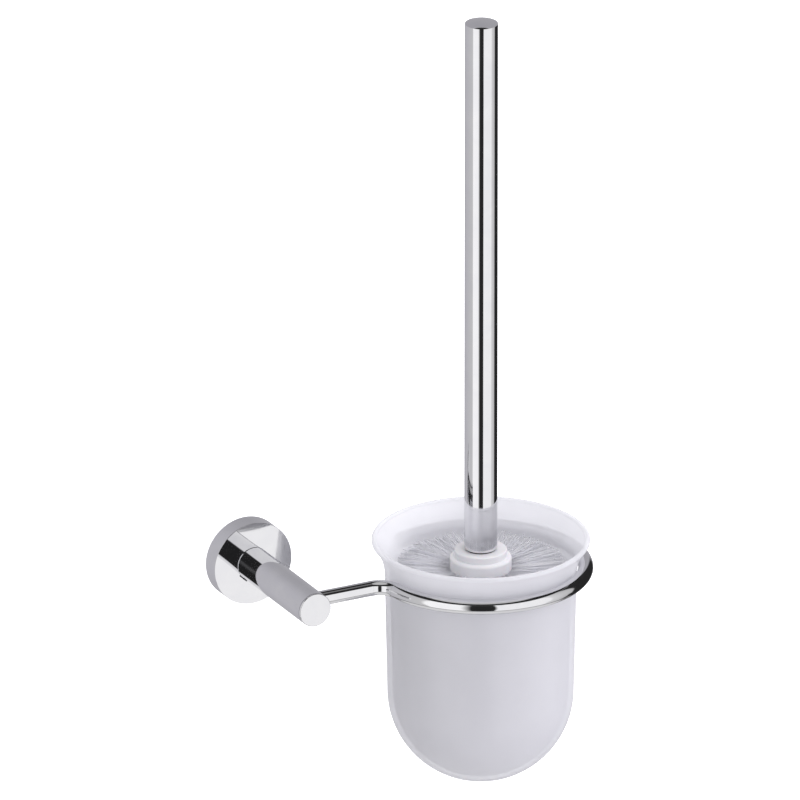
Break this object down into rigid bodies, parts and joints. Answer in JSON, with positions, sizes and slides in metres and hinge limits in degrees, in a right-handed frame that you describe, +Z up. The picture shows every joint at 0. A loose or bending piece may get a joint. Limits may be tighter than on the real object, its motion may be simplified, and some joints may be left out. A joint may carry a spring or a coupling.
{
  "type": "toilet brush holder",
  "caption": "Wall-mounted toilet brush holder: round rosette and post, bent rod ring, frosted glass cup and a brush with a long tube handle.",
  "frame": {"origin": "centre of the face that lies on the wall, on the post's axis", "axes": "+Y into the wall, so the post stands out along -Y; +Z up along the handle; +X along the arm from the post to the cup"},
  "size_m": [0.171, 0.1177, 0.3913],
  "materials": {
    "chrome": "polished",
    "steel": "satin",
    "dark_steel": "satin",
    "brass": "satin",
    "frosted_glass": "satin",
    "white_plastic": "satin",
    "bristles": "matte",
    "rubber": "matte"
  },
  "bodies": {
    "wall_bracket": {"wall_plate": "steel", "wall_boss": "brass", "rosette": "chrome", "post_tube": "chrome", "post_socket": "brass", "grub_screw": "dark_steel", "rod_block": "brass", "rod_lock_screw": "dark_steel", "post_cap": "chrome", "ring_rod": "chrome"},
    "cup": {"glass_cup": "frosted_glass"},
    "brush_head": {"head_core": "white_plastic", "head_stud": "steel", "head_collar": "white_plastic", "side_bristles": "bristles", "end_bristles": "bristles", "seal_washer": "rubber"},
    "handle": {"handle_tube": "chrome", "handle_insert": "brass", "handle_cap": "chrome"}
  },
  "joints": [
    {"name": "cup_lift", "type": "slide", "parent": "wall_bracket", "child": "cup", "axis": [0, 0, 1], "range_m": [0, 0.12]},
    {"name": "brush_lift", "type": "slide", "parent": "cup", "child": "brush_head", "axis": [0, 0, 1], "range_m": [0, 0.13]},
    {"name": "handle_turn", "type": "hinge", "parent": "brush_head", "child": "handle", "pos_m": [0.0958, -0.06335, 0], "axis": [0, 0, 1], "continuous": true}
  ]
}
